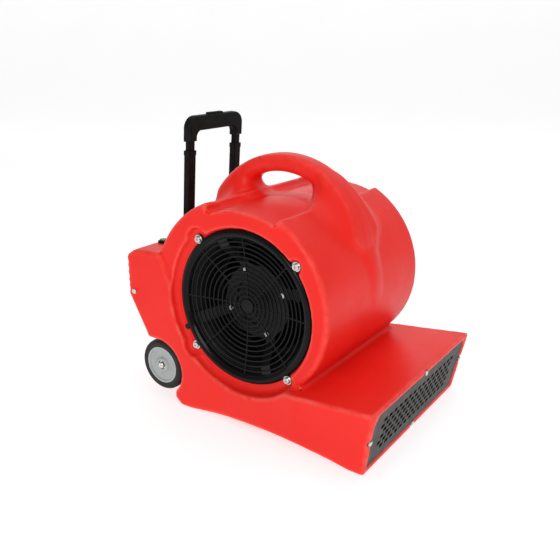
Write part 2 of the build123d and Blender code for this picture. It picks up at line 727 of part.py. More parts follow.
with BuildPart() as motor_case:
    with BuildSketch(fan_plane(MOTOR_FRONT_X)):
        Circle(MOTOR_R)
        Circle(MOTOR_R - 2.0, mode=Mode.SUBTRACT)
    extrude(amount=MOTOR_LENGTH)
save(motor_case.part, "motor_case")

with BuildPart() as end_bell_front:
    with BuildSketch(fan_plane(MOTOR_FRONT_X, -1)):
        Circle(MOTOR_R)
    extrude(amount=BELL)
    fillet(end_bell_front.faces().sort_by(Axis.X)[0].edges(), 3)
    with BuildSketch(fan_plane(MOTOR_FRONT_X, -1)):
        Circle(BEARING_R)
    extrude(amount=BEARING_WIDTH, mode=Mode.SUBTRACT)
    with BuildSketch(fan_plane(MOTOR_FRONT_X, -1)):
        with Locations(*bolt_points(MOTOR_BOLT_R, MOTOR_BOLT_ANGLES, -1)):
            Circle(SCREW_R)
    extrude(amount=BELL, mode=Mode.SUBTRACT)
save(end_bell_front.part, "motor_end_bell_left")

with BuildPart() as end_bell_back:
    with BuildSketch(fan_plane(MOTOR_BACK_X)):
        Circle(MOTOR_R)
    extrude(amount=BELL)
    fillet(end_bell_back.faces().sort_by(Axis.X)[-1].edges(), 3)
    with BuildSketch(fan_plane(MOTOR_BACK_X)):
        Circle(BEARING_R)
    extrude(amount=BEARING_WIDTH, mode=Mode.SUBTRACT)
    with BuildSketch(fan_plane(MOTOR_BACK_X)):
        Circle(SHAFT_R + 1)
    extrude(amount=BELL, mode=Mode.SUBTRACT)
save(end_bell_back.part, "motor_end_bell_right")

for name, face_x, outward in (("left", MOTOR_FRONT_X, -1), ("right", MOTOR_BACK_X, 1)):
    with BuildPart() as bearing:
        with BuildSketch(fan_plane(face_x, outward)):
            Circle(BEARING_R)
            Circle(SHAFT_R + RUNNING_GAP, mode=Mode.SUBTRACT)
        extrude(amount=BEARING_WIDTH)
    save(bearing.part, f"motor_bearing_{name}")

with BuildPart() as stator_core:
    with BuildSketch(fan_plane(MOTOR_X - 24)):
        Circle(MOTOR_R - 2.0)
        Circle(38, mode=Mode.SUBTRACT)
        with PolarLocations(44, 24):
            Rectangle(9, 4, mode=Mode.SUBTRACT)
    extrude(amount=48)
save(stator_core.part, "stator_core")

with BuildPart() as stator_windings:
    for start, outward in ((MOTOR_X - 24, -1), (MOTOR_X + 24, 1)):
        with BuildSketch(fan_plane(start, outward)):
            Circle(58)
            Circle(40, mode=Mode.SUBTRACT)
        extrude(amount=11)
    fillet(stator_windings.edges().filter_by(GeomType.CIRCLE).group_by(Axis.X)[0], 3)
    fillet(stator_windings.edges().filter_by(GeomType.CIRCLE).group_by(Axis.X)[-1], 3)
save(stator_windings.part, "stator_windings")

with BuildPart() as rotor_core:
    with BuildSketch(fan_plane(MOTOR_X - 26)):
        Circle(37.4)
        Circle(SHAFT_R, mode=Mode.SUBTRACT)
    extrude(amount=52)
save(rotor_core.part, "rotor_core")

with BuildPart() as motor_shaft:
    with BuildSketch(fan_plane(MOTOR_FRONT_X - BEARING_WIDTH)):
        Circle(SHAFT_R)
    extrude(amount=FAN_DISC_X + 30 - MOTOR_FRONT_X + BEARING_WIDTH)
    chamfer(motor_shaft.edges().group_by(Axis.X)[-1], 0.8)
save(motor_shaft.part, "motor_shaft")

with BuildPart() as motor_bracket:
    # four bent arms between a centre ring on the motor and a hoop in the intake hole
    hoop_x = -GRILLE_FACE_X
    ring_x = MOTOR_FRONT_X - BELL
    for angle in MOTOR_BOLT_ANGLES:
        arm_plane = FAN_SECTION.rotated((90 - angle, 0, 0))
        with BuildSketch(arm_plane):
            Polygon(
                (hoop_x + 4.4, 122),
                (hoop_x + 7, 104),
                (ring_x, 72),
                (ring_x, 48),
                (ring_x - 3, 48),
                (ring_x - 3, 74),
                (hoop_x + 3.5, 106),
                (hoop_x + 0.6, 122),
                align=None,
            )
        extrude(amount=10, both=True)
    with BuildSketch(fan_plane(ring_x, -1)):
        Circle(MOTOR_R)
        Circle(44, mode=Mode.SUBTRACT)
    extrude(amount=3)
    with BuildSketch(fan_plane(hoop_x + 0.4)):
        Circle(FAN_R + 5.8)
        Circle(FAN_R + 2.8, mode=Mode.SUBTRACT)
    extrude(amount=4.2)
    with BuildSketch(fan_plane(ring_x + 1, -1)):
        with Locations(*bolt_points(MOTOR_BOLT_R, MOTOR_BOLT_ANGLES, -1)):
            Circle(SCREW_R)
    extrude(amount=6, mode=Mode.SUBTRACT)
save(motor_bracket.part, "motor_bracket")

with BuildPart() as motor_bolts:
    with BuildSketch(fan_plane(ring_x - 3, -1)):
        with Locations(*bolt_points(MOTOR_BOLT_R, MOTOR_BOLT_ANGLES, -1)):
            RegularPolygon(5, 6)
    extrude(amount=3.6)
    with BuildSketch(fan_plane(ring_x - 3)):
        with Locations(*bolt_points(MOTOR_BOLT_R, MOTOR_BOLT_ANGLES)):
            Circle(SCREW_R - 0.05)
    extrude(amount=12.5)
save(motor_bolts.part, "motor_bolts")

# ---------------------------------------------------------------- fan wheel
with BuildPart() as fan_wheel:
    blade_in = FAN_R - FAN_BLADE_DEPTH
    with BuildSketch(fan_plane(-FAN_HALF_WIDTH)):
        with PolarLocations(0, FAN_BLADES):
            with BuildLine():
                mid_r = (blade_in + FAN_R) / 2
                Polyline([(blade_in, 0), (mid_r, 3.2), (FAN_R - 0.5, 10.5)])
                Polyline([(FAN_R - 0.5, 10.5), (FAN_R - 0.2, 9.2), (mid_r + 0.4, 2.0)])
                Polyline([(mid_r + 0.4, 2.0), (blade_in, -1.2), (blade_in, 0)])
            make_face()
    extrude(amount=2 * FAN_HALF_WIDTH)
    for x in (-FAN_HALF_WIDTH, FAN_HALF_WIDTH - 3):
        with BuildSketch(fan_plane(x)):
            Circle(FAN_R + 0.8)
            Circle(blade_in - 1, mode=Mode.SUBTRACT)
        extrude(amount=3)
    with BuildSketch(fan_plane(FAN_DISC_X)):
        Circle(FAN_R + 0.8)
        Circle(16, mode=Mode.SUBTRACT)
    extrude(amount=1.6)
save(fan_wheel.part, "fan_wheel")

with BuildPart() as fan_hub:
    with BuildSketch(fan_plane(FAN_DISC_X - 4)):
        Circle(16)
        Circle(SHAFT_R, mode=Mode.SUBTRACT)
    extrude(amount=32)
    with BuildSketch(fan_plane(FAN_DISC_X + 1.6)):
        Circle(30)
        Circle(16, mode=Mode.SUBTRACT)
    extrude(amount=3)
    with BuildSketch(Plane(origin=(FAN_DISC_X + 18, FAN_Y, FAN_Z), z_dir=(0, 0, 1))):
        Circle(2.5)
    extrude(amount=17, mode=Mode.SUBTRACT)
save(fan_hub.part, "fan_hub")

with BuildPart() as hub_set_screw:
    with BuildSketch(Plane(origin=(FAN_DISC_X + 18, FAN_Y, FAN_Z + SHAFT_R), z_dir=(0, 0, 1))):
        RegularPolygon(2.4, 6)
    extrude(amount=9)
save(hub_set_screw.part, "hub_set_screw")

# ---------------------------------------------------------------- wheels
with BuildPart() as axle:
    with BuildSketch(side_plane(-WHEEL_OUTER_X - 3)):
        with Locations((AXLE_Y, AXLE_Z)):
            Circle(AXLE_R)
    extrude(amount=2 * (WHEEL_OUTER_X + 3))
    chamfer(axle.edges().filter_by(GeomType.CIRCLE), 0.8)
save(axle.part, "axle")

with BuildPart() as tyre_left:
    inner_x = -WHEEL_OUTER_X + TYRE_WIDTH
    with BuildSketch(AXLE_SECTION):
        with BuildLine():
            Line((-WHEEL_OUTER_X, HUB_R), (-WHEEL_OUTER_X, TYRE_R - 7))
            ThreePointArc(
                (-WHEEL_OUTER_X, TYRE_R - 7),
                (-WHEEL_OUTER_X + 2.2, TYRE_R - 2.2),
                (-WHEEL_OUTER_X + 7, TYRE_R - 0.3),
            )
            Spline(
                (-WHEEL_OUTER_X + 7, TYRE_R - 0.3),
                (-WHEEL_OUTER_X + TYRE_WIDTH / 2, TYRE_R),
                (inner_x - 7, TYRE_R - 0.3),
            )
            ThreePointArc((inner_x - 7, TYRE_R - 0.3), (inner_x - 2.2, TYRE_R - 2.2), (inner_x, TYRE_R - 7))
            Line((inner_x, TYRE_R - 7), (inner_x, HUB_R))
            Line((inner_x, HUB_R), (-WHEEL_OUTER_X, HUB_R))
        make_face()
    revolve(axis=AXLE_AXIS)
save(tyre_left.part, "tyre_left")
mirrored("tyre_right", tyre_left)

with BuildPart() as wheel_hub_left:
    # moulded hub: rim, shallow dish and a raised boss sunk round the axle's clip
    with BuildSketch(AXLE_SECTION):
        Polygon(
            (-WHEEL_OUTER_X + 0.5, HUB_R),
            (-WHEEL_OUTER_X + 0.5, HUB_R - 3),
            (-WHEEL_OUTER_X + 3, HUB_R - 4.5),
            (-WHEEL_OUTER_X + 3.6, 15),
            (-WHEEL_OUTER_X + 0.2, 12.5),
            (-WHEEL_OUTER_X + 0.2, CLIP_R + 0.8),
            (-WHEEL_OUTER_X + CLIP_DEPTH, CLIP_R + 0.8),
            (-WHEEL_OUTER_X + CLIP_DEPTH, AXLE_R + RUNNING_GAP),
            (inner_x - 0.2, AXLE_R + RUNNING_GAP),
            (inner_x - 0.2, 11),
            (-WHEEL_OUTER_X + 9, 12),
            (-WHEEL_OUTER_X + 9, HUB_R - 4),
            (inner_x - 0.5, HUB_R - 3),
            (inner_x - 0.5, HUB_R),
            align=None,
        )
    revolve(axis=AXLE_AXIS)
save(wheel_hub_left.part, "wheel_hub_left")
mirrored("wheel_hub_right", wheel_hub_left)

with BuildPart() as axle_spacers:
    for side in (-1, 1):
        with BuildSketch(side_plane(side * WELL_INNER_X)):
            with Locations((AXLE_Y, AXLE_Z)):
                Circle(11)
                Circle(AXLE_R, mode=Mode.SUBTRACT)
        extrude(amount=side * (WHEEL_OUTER_X - TYRE_WIDTH - WELL_INNER_X - 0.1))
save(axle_spacers.part, "axle_spacers")

with BuildPart() as axle_clips:
    for side in (-1, 1):
        with BuildSketch(side_plane(side * (WHEEL_OUTER_X - CLIP_DEPTH + 0.1))):
            with Locations((AXLE_Y, AXLE_Z)):
                Circle(CLIP_R)
                Circle(AXLE_R, mode=Mode.SUBTRACT)
                with Locations((0, -8)):
                    Rectangle(4, 7, mode=Mode.SUBTRACT)
        extrude(amount=side * 1.5)
save(axle_clips.part, "axle_clips")

# ---------------------------------------------------------------- trolley handle
def tube_bore(tube):
    """Inner width and depth of a handle tube."""
    return tube[0] - 2 * TUBE_WALL, tube[1] - 2 * TUBE_WALL


for side, name in ((-1, "left"), (1, "right")):
    with BuildPart() as outer_tube:
        with BuildSketch(handle_plane(OUTER_BOTTOM, side)):
            RectangleRounded(*OUTER_TUBE, 3)
            RectangleRounded(*tube_bore(OUTER_TUBE), 2, mode=Mode.SUBTRACT)
        extrude(amount=OUTER_TOP - OUTER_BOTTOM)
    save(outer_tube.part, f"handle_outer_tube_{name}")

    with BuildPart() as outer_collar:
        with BuildSketch(handle_plane(OUTER_TOP - 6, side)):
            RectangleRounded(OUTER_TUBE[0] + 5, OUTER_TUBE[1] + 5, 4)
        extrude(amount=COLLAR_HEIGHT)
        fillet(outer_collar.faces().sort_by(Axis.Z)[-1].edges(), 1.2)
        with BuildSketch(handle_plane(OUTER_TOP - 6, side)):
            RectangleRounded(*OUTER_TUBE, 3)
        extrude(amount=6, mode=Mode.SUBTRACT)
        with BuildSketch(handle_plane(OUTER_TOP - 6, side)):
            RectangleRounded(MID_TUBE[0] + 0.6, MID_TUBE[1] + 0.6, 2.6)
        extrude(amount=COLLAR_HEIGHT + 1, mode=Mode.SUBTRACT)
    save(outer_collar.part, f"handle_collar_{name}")

    with BuildPart() as tube_foot:
        with BuildSketch(handle_plane(OUTER_BOTTOM, side)):
            RectangleRounded(*OUTER_TUBE, 3)
        extrude(amount=-5)
    save(tube_foot.part, f"handle_foot_{name}")

    with BuildPart() as mid_tube:
        with BuildSketch(handle_plane(MID_BOTTOM, side)):
            RectangleRounded(*MID_TUBE, 2.6)
            RectangleRounded(*tube_bore(MID_TUBE), 1.6, mode=Mode.SUBTRACT)
        extrude(amount=-8 - MID_BOTTOM)
    save(mid_tube.part, f"handle_mid_tube_{name}")

    with BuildPart() as mid_collar:
        with BuildSketch(handle_plane(-8, side)):
            RectangleRounded(MID_TUBE[0] + 1.6, MID_TUBE[1] + 1.6, 3)
            RectangleRounded(INNER_TUBE[0] + 0.6, INNER_TUBE[1] + 0.6, 2.2, mode=Mode.SUBTRACT)
        extrude(amount=8)
    save(mid_collar.part, f"handle_mid_collar_{name}")

    with BuildPart() as inner_tube:
        with BuildSketch(handle_plane(INNER_BOTTOM, side)):
            RectangleRounded(*INNER_TUBE, 2)
            RectangleRounded(*tube_bore(INNER_TUBE), 1, mode=Mode.SUBTRACT)
        extrude(amount=GRIP_ARM_BOTTOM + 12 - INNER_BOTTOM)
    save(inner_tube.part, f"handle_inner_tube_{name}")

with BuildPart() as grip:
    with BuildSketch(handle_face()) as grip_outline:
        with Locations((0, GRIP_ARM_BOTTOM)):
            Rectangle(2 * GRIP_HALF, GRIP_TOP - GRIP_ARM_BOTTOM, align=(Align.CENTER, Align.MIN))
        fillet(grip_outline.vertices().group_by(Axis.Y)[-1], 22)
    extrude(amount=GRIP_DEPTH / 2, both=True)
    with BuildSketch(handle_face()) as grip_gap:
        with Locations((0, GRIP_ARM_BOTTOM)):
            Rectangle(2 * (TUBE_X - 11), GRIP_UNDER - GRIP_ARM_BOTTOM, align=(Align.CENTER, Align.MIN))
        fillet(grip_gap.vertices().group_by(Axis.Y)[-1], 12)
    extrude(amount=GRIP_DEPTH, both=True, mode=Mode.SUBTRACT)
    fillet(grip.faces().filter_by(Axis((0, 0, 0), handle_face().z_dir)).edges(), 5)
    # sockets for the inner tubes and the channel of the latch yoke
    for side in (-1, 1):
        with BuildSketch(handle_plane(GRIP_ARM_BOTTOM, side)):
            RectangleRounded(*INNER_TUBE, 2)
        extrude(amount=12, mode=Mode.SUBTRACT)
        with BuildSketch(handle_plane(GRIP_ARM_BOTTOM, side)):
            Circle(2.6)
        extrude(amount=GRIP_UNDER + 8 - GRIP_ARM_BOTTOM, mode=Mode.SUBTRACT)
    with BuildSketch(handle_face()):
        with Locations((0, GRIP_UNDER + 4)):
            Rectangle(2 * TUBE_X + 6, 11, align=(Align.CENTER, Align.MIN))
        with Locations((0, GRIP_UNDER + 4)):
            Rectangle(41, 40, align=(Align.CENTER, Align.MIN))
    extrude(amount=4.5, both=True, mode=Mode.SUBTRACT)
save(grip.part, "grip")

with BuildPart() as grip_button:
    with BuildSketch(handle_face()):
        with Locations((0, GRIP_UNDER + 13.5)):
            Rectangle(40, BUTTON_TOP - GRIP_UNDER - 13.5, align=(Align.CENTER, Align.MIN))
    extrude(amount=4.2, both=True)
    fillet(grip_button.faces().sort_by(Axis.Z)[-1].edges(), 1.5)
save(grip_button.part, "grip_button")

with BuildPart() as latch_yoke:
    with BuildSketch(handle_face()):
        with Locations((0, GRIP_UNDER + 8)):
            Rectangle(2 * TUBE_X + 5, 5.5, align=(Align.CENTER, Align.MIN))
    extrude(amount=3, both=True)
    for side in (-1, 1):
        with BuildSketch(handle_plane(INNER_BOTTOM + 10, side)):
            Circle(2.0)
        extrude(amount=GRIP_UNDER + 9 - INNER_BOTTOM - 10)
save(latch_yoke.part, "latch_yoke")

with BuildPart() as handle_bracket:
    # cross plate on the back of the outer tubes, with flanges bent along the side walls
    half = PANEL_HALF - WALL
    with BuildSketch(handle_face(OUTER_TUBE[1] / 2)):
        with Locations((0, -270)):
            Rectangle(2 * half, 30, align=(Align.CENTER, Align.MIN))
    extrude(amount=-2.5)
    for side in (-1, 1):
        with BuildSketch(side_plane(side * half)):
            with Locations((224, SIDE_SCREW_Z + 1)):
                Rectangle(32, 16, align=(Align.MIN, Align.CENTER))
            with Locations((SIDE_SCREW_Y, SIDE_SCREW_Z)):
                Circle(SCREW_R, mode=Mode.SUBTRACT)
        extrude(amount=-side * 2.5)
save(handle_bracket.part, "handle_bracket")

with BuildPart() as side_screws:
    for side in (-1, 1):
        with BuildSketch(side_plane(side * PANEL_HALF)):
            with Locations((SIDE_SCREW_Y, SIDE_SCREW_Z)):
                Circle(5)
        extrude(amount=side * 2.6)
        with BuildSketch(side_plane(side * PANEL_HALF)):
            with Locations((SIDE_SCREW_Y, SIDE_SCREW_Z)):
                Circle(SCREW_R - 0.05)
        extrude(amount=-side * 9)
    fillet(side_screws.edges().filter_by(GeomType.CIRCLE).group_by(Axis.X)[0], 1.2)
    fillet(side_screws.edges().filter_by(GeomType.CIRCLE).group_by(Axis.X)[-1], 1.2)
save(side_screws.part, "side_screws")

# ---------------------------------------------------------------- controls and wiring parts
ROCKER_TILT = 8.0
ROCKER_HALF = (5.2, 9.0)
ROCKER_PIVOT = 2.8

for x, name in zip(SWITCH_X, ("left", "centre", "right")):
    with BuildPart() as switch_frame:
        with BuildSketch(deck_plane(x)):
            Rectangle(*SWITCH_BODY)
        extrude(amount=-SWITCH_DEPTH)
        with BuildSketch(deck_plane(x)):
            RectangleRounded(*SWITCH_BEZEL, 1.5)
        extrude(amount=SWITCH_RIM)
        fillet(switch_frame.faces().sort_by(Axis.Z)[-1].edges(), 0.8)
        with BuildSketch(deck_plane(x).offset(SWITCH_RIM)):
            Rectangle(2 * ROCKER_HALF[0] + 0.8, 2 * ROCKER_HALF[1] + 2)
        extrude(amount=-SWITCH_RIM - 8, mode=Mode.SUBTRACT)
    save(switch_frame.part, f"switch_frame_{name}")

    with BuildPart() as rocker:
        rocker_plane = deck_plane(x).offset(ROCKER_PIVOT).rotated((-ROCKER_TILT, 0, 0))
        side_view = Plane(origin=rocker_plane.origin, x_dir=rocker_plane.y_dir, z_dir=rocker_plane.x_dir)
        with BuildSketch(side_view):
            Polygon(
                (-ROCKER_HALF[1], 5.5),
                (-ROCKER_HALF[1] + 1, -3.5),
                (ROCKER_HALF[1] - 1, -3.5),
                (ROCKER_HALF[1], 5.5),
                (0, 3.8),
                align=None,
            )
        extrude(amount=ROCKER_HALF[0], both=True)
    save(rocker.part, f"switch_rocker_{name}")

with BuildPart() as cord_gland:
    with BuildSketch(GLAND_PLANE):
        RegularPolygon(12, 6)
    extrude(amount=5)
    with BuildSketch(GLAND_PLANE.offset(5)):
        Circle(10)
    extrude(amount=8, taper=12)
    with BuildSketch(GLAND_PLANE):
        Circle(GLAND_R - 0.05)
    extrude(amount=-14)
    with BuildSketch(GLAND_PLANE.offset(20)):
        Circle(4)
    extrude(amount=-40, mode=Mode.SUBTRACT)
save(cord_gland.part, "cord_gland")

CAPACITOR_Y = 234.0
CAPACITOR_Z = 248.0
CAPACITOR_R = 17.5

with BuildPart() as run_capacitor:
    with BuildSketch(side_plane(92)):
        with Locations((CAPACITOR_Y, CAPACITOR_Z)):
            Circle(CAPACITOR_R)
    extrude(amount=58)
    fillet(run_capacitor.edges().filter_by(GeomType.CIRCLE), 1.5)
save(run_capacitor.part, "run_capacitor")

with BuildPart() as capacitor_clip:
    with BuildSketch(side_plane(112)):
        with Locations((CAPACITOR_Y, CAPACITOR_Z)):
            Circle(CAPACITOR_R + 1.5)
        with Locations((BACK_WALL_Y, CAPACITOR_Z)):
            Rectangle(20, 8, align=(Align.MIN, Align.CENTER))
        with Locations((BACK_WALL_Y, CAPACITOR_Z)):
            Rectangle(2, 26, align=(Align.MIN, Align.CENTER))
        with Locations((CAPACITOR_Y, CAPACITOR_Z)):
            Circle(CAPACITOR_R, mode=Mode.SUBTRACT)
    extrude(amount=14)
save(capacitor_clip.part, "capacitor_clip")

with BuildPart() as terminal_block:
    with BuildSketch(Plane.XZ.offset(-BACK_WALL_Y)):
        with Locations((-118, 245)):
            Rectangle(48, 20)
    extrude(amount=-16)
    with BuildSketch(Plane.XZ.offset(-BACK_WALL_Y - 16)):
        with Locations((-118, 245)):
            with GridLocations(11, 12, 4, 2):
                Circle(2.4)
    extrude(amount=9, mode=Mode.SUBTRACT)
save(terminal_block.part, "terminal_block")
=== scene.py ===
"""Air mover with a moulded red scroll housing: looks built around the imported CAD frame."""
import json
import math

import bpy
import numpy as np
import openvdb
from mathutils import Matrix, Vector


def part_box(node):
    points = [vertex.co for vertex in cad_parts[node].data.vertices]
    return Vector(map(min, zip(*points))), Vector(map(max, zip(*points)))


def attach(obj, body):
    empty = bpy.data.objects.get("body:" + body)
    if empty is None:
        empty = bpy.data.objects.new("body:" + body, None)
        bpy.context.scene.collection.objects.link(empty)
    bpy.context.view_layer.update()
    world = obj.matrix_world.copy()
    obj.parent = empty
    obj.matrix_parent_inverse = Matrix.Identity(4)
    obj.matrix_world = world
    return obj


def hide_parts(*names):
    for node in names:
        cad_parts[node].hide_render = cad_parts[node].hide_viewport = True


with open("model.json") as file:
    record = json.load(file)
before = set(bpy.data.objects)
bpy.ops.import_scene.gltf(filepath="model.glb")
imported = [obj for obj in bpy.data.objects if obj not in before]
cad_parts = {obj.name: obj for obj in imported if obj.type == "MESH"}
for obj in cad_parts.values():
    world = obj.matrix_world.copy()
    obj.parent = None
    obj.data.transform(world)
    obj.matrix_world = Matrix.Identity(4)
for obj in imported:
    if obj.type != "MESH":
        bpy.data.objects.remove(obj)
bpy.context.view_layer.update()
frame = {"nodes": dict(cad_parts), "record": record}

# ---------------------------------------------------------------- materials
# pointiness span of the paler edges, which are edge wear and a painted edge highlight
WEAR_AND_HIGHLIGHT_POINTINESS = (0.503, 0.53)      # from a slightly raised edge to a sharp one
DUST_SLOPE = (0.2, 1.0)              # how far a surface faces up, from no dust to the most
PAPER_DARK_SPREAD = (6.0, 4.4, 1.0)  # one over the half axes of the paper's unlit patch, in metres
PAPER_DARK_EDGE = (0.80, 1.0)        # where that patch starts and stops fading
COAT_ROUGHNESS = 0.12


class NodeTree:
    """The shader nodes of one material, with a short way to add each kind that the surfaces use."""

    def __init__(self, name):
        self.material = bpy.data.materials.new(name)
        self.material.use_nodes = True
        self.nodes = self.material.node_tree.nodes
        self.links = self.material.node_tree.links
        self.nodes.clear()
        out = self.nodes.new("ShaderNodeOutputMaterial")
        self.shader = self.nodes.new("ShaderNodeBsdfPrincipled")
        self.links.new(self.shader.outputs["BSDF"], out.inputs["Surface"])
        self.coord = self.nodes.new("ShaderNodeTexCoord").outputs["Object"]

    def stretched(self, scale):
        """Object coordinates, scaled along each axis."""
        node = self.nodes.new("ShaderNodeMapping")
        node.inputs["Scale"].default_value = scale
        self.links.new(self.coord, node.inputs["Vector"])
        return node.outputs["Vector"]

    def noise(self, scale, detail, rough, stretch=None):
        """A noise texture in object space."""
        node = self.nodes.new("ShaderNodeTexNoise")
        node.inputs["Scale"].default_value = scale
        node.inputs["Detail"].default_value = detail
        node.inputs["Roughness"].default_value = rough
        self.links.new(self.stretched(stretch) if stretch else self.coord, node.inputs["Vector"])
        return node.outputs["Fac"]

    def ramp(self, fac, span, low_color, high_color):
        """A colour that goes from one to the other over a span of the factor."""
        node = self.nodes.new("ShaderNodeValToRGB")
        for element, position, color in zip(node.color_ramp.elements, span, (low_color, high_color)):
            element.position = position
            element.color = (*color, 1)
        self.links.new(fac, node.inputs["Fac"])
        return node.outputs["Color"]

    def remap(self, fac, from_range, to_range):
        node = self.nodes.new("ShaderNodeMapRange")
        node.inputs["From Min"].default_value, node.inputs["From Max"].default_value = from_range
        node.inputs["To Min"].default_value, node.inputs["To Max"].default_value = to_range
        self.links.new(fac, node.inputs["Value"])
        return node.outputs["Result"]

    def product(self, a, b):
        node = self.nodes.new("ShaderNodeMath")
        node.operation = "MULTIPLY"
        self.links.new(a, node.inputs[0])
        self.links.new(b, node.inputs[1])
        return node.outputs["Value"]

    def tinted(self, color, tint, amount):
        """The colour with a tint mixed in by an amount that varies over the surface."""
        node = self.nodes.new("ShaderNodeMixRGB")
        node.inputs["Color2"].default_value = (*tint, 1)
        self.links.new(amount, node.inputs["Fac"])
        self.links.new(color, node.inputs["Color1"])
        return node.outputs["Color"]

    def geometry(self, output):
        return self.nodes.new("ShaderNodeNewGeometry").outputs[output]

    def dusted(self, color, tint, most):
        """Dust that has settled in specks on what faces up."""
        normal = self.nodes.new("ShaderNodeSeparateXYZ")
        self.links.new(self.geometry("Normal"), normal.inputs["Vector"])
        facing_up = self.remap(normal.outputs["Z"], DUST_SLOPE, (0.0, most))
        specks = self.remap(self.noise(60.0, 6.0, 0.7), (0.4, 0.75), (0.3, 1.0))
        return self.tinted(color, tint, self.product(facing_up, specks))

    def darkened_inside(self, color, tint):
        """Painted shade on the faces that the mesh marks as inside, where the hollow housing is dark."""
        node = self.nodes.new("ShaderNodeAttribute")
        node.attribute_name = "inside"
        return self.tinted(color, tint, node.outputs["Fac"])

    def worn_and_highlit(self, color, tint, most):
        """Paler edges, broken up in patches: edge wear, and on the red shell a painted edge highlight."""
        edges = self.remap(self.geometry("Pointiness"), WEAR_AND_HIGHLIGHT_POINTINESS, (0, most))
        patchiness = self.remap(self.noise(45.0, 5.0, 0.7), (0.35, 0.65), (0.2, 1.0))
        return self.tinted(color, tint, self.product(edges, patchiness))

    def glow_round_machine(self, strength):
        """Paper that is lit evenly, apart from where the machine stands and shades it."""
        reach = self.nodes.new("ShaderNodeVectorMath")
        reach.operation = "LENGTH"
        self.links.new(self.stretched(PAPER_DARK_SPREAD), reach.inputs[0])
        lit = self.ramp(reach.outputs["Value"], PAPER_DARK_EDGE, grey(0), grey(1))
        self.links.new(lit, self.shader.inputs["Emission Color"])
        self.shader.inputs["Emission Strength"].default_value = strength

    def bump(self, height, depth, below=None):
        node = self.nodes.new("ShaderNodeBump")
        node.inputs["Strength"].default_value = 1.0
        node.inputs["Distance"].default_value = depth
        self.links.new(height, node.inputs["Height"])
        if below is not None:
            self.links.new(below, node.inputs["Normal"])
        return node.outputs["Normal"]


def grey(value):
    return (value, value, value)


def surface(
    name, dark, light, roughness, metallic=0.0, mottle=18.0, grain=900.0, grain_depth=0.00006,
    wave_depth=0.0, stretch=None, edge_wear_and_highlight=None, coat=0.0, specular=0.5, dust=None, glow=0.0, inside_shade=None,
):
    """A moulded, painted or metal surface: colour mottle, varied roughness, fine grain, dust, edge wear
    that is also a painted edge highlight, and painted shade on inside faces.

    dark and light are the mottle's two colours, and roughness is its range. The edge wear and highlight and
    the dust are each a colour with its largest amount, and the inside shade is the colour of the painted
    shade. mottle and grain are noise scales, and the depths are in metres.
    """
    tree = NodeTree(name)
    color = tree.ramp(tree.noise(mottle, 4.0, 0.55), (0.3, 0.7), dark, light)
    if dust:
        color = tree.dusted(color, *dust)
    # painted shade on the faces deep inside the housing
    if inside_shade:
        color = tree.darkened_inside(color, inside_shade)
    # paler edges: edge wear, and on the red shell a painted edge highlight
    if edge_wear_and_highlight:
        color = tree.worn_and_highlit(color, *edge_wear_and_highlight)
    patches = tree.remap(tree.noise(mottle * 2.3, 5.0, 0.6), (0.3, 0.7), roughness)
    inputs = tree.shader.inputs
    tree.links.new(color, inputs["Base Color"])
    tree.links.new(patches, inputs["Roughness"])
    inputs["Metallic"].default_value = metallic
    inputs["Specular IOR Level"].default_value = specular
    if glow:
        tree.glow_round_machine(glow)
    if coat:
        inputs["Coat Weight"].default_value = coat
        inputs["Coat Roughness"].default_value = COAT_ROUGHNESS
    normal = tree.bump(tree.noise(26.0, 1.0, 0.4), wave_depth) if wave_depth else None
    normal = tree.bump(tree.noise(grain, 2.0, 0.6, stretch), grain_depth, normal)
    tree.links.new(normal, inputs["Normal"])
    return tree.material


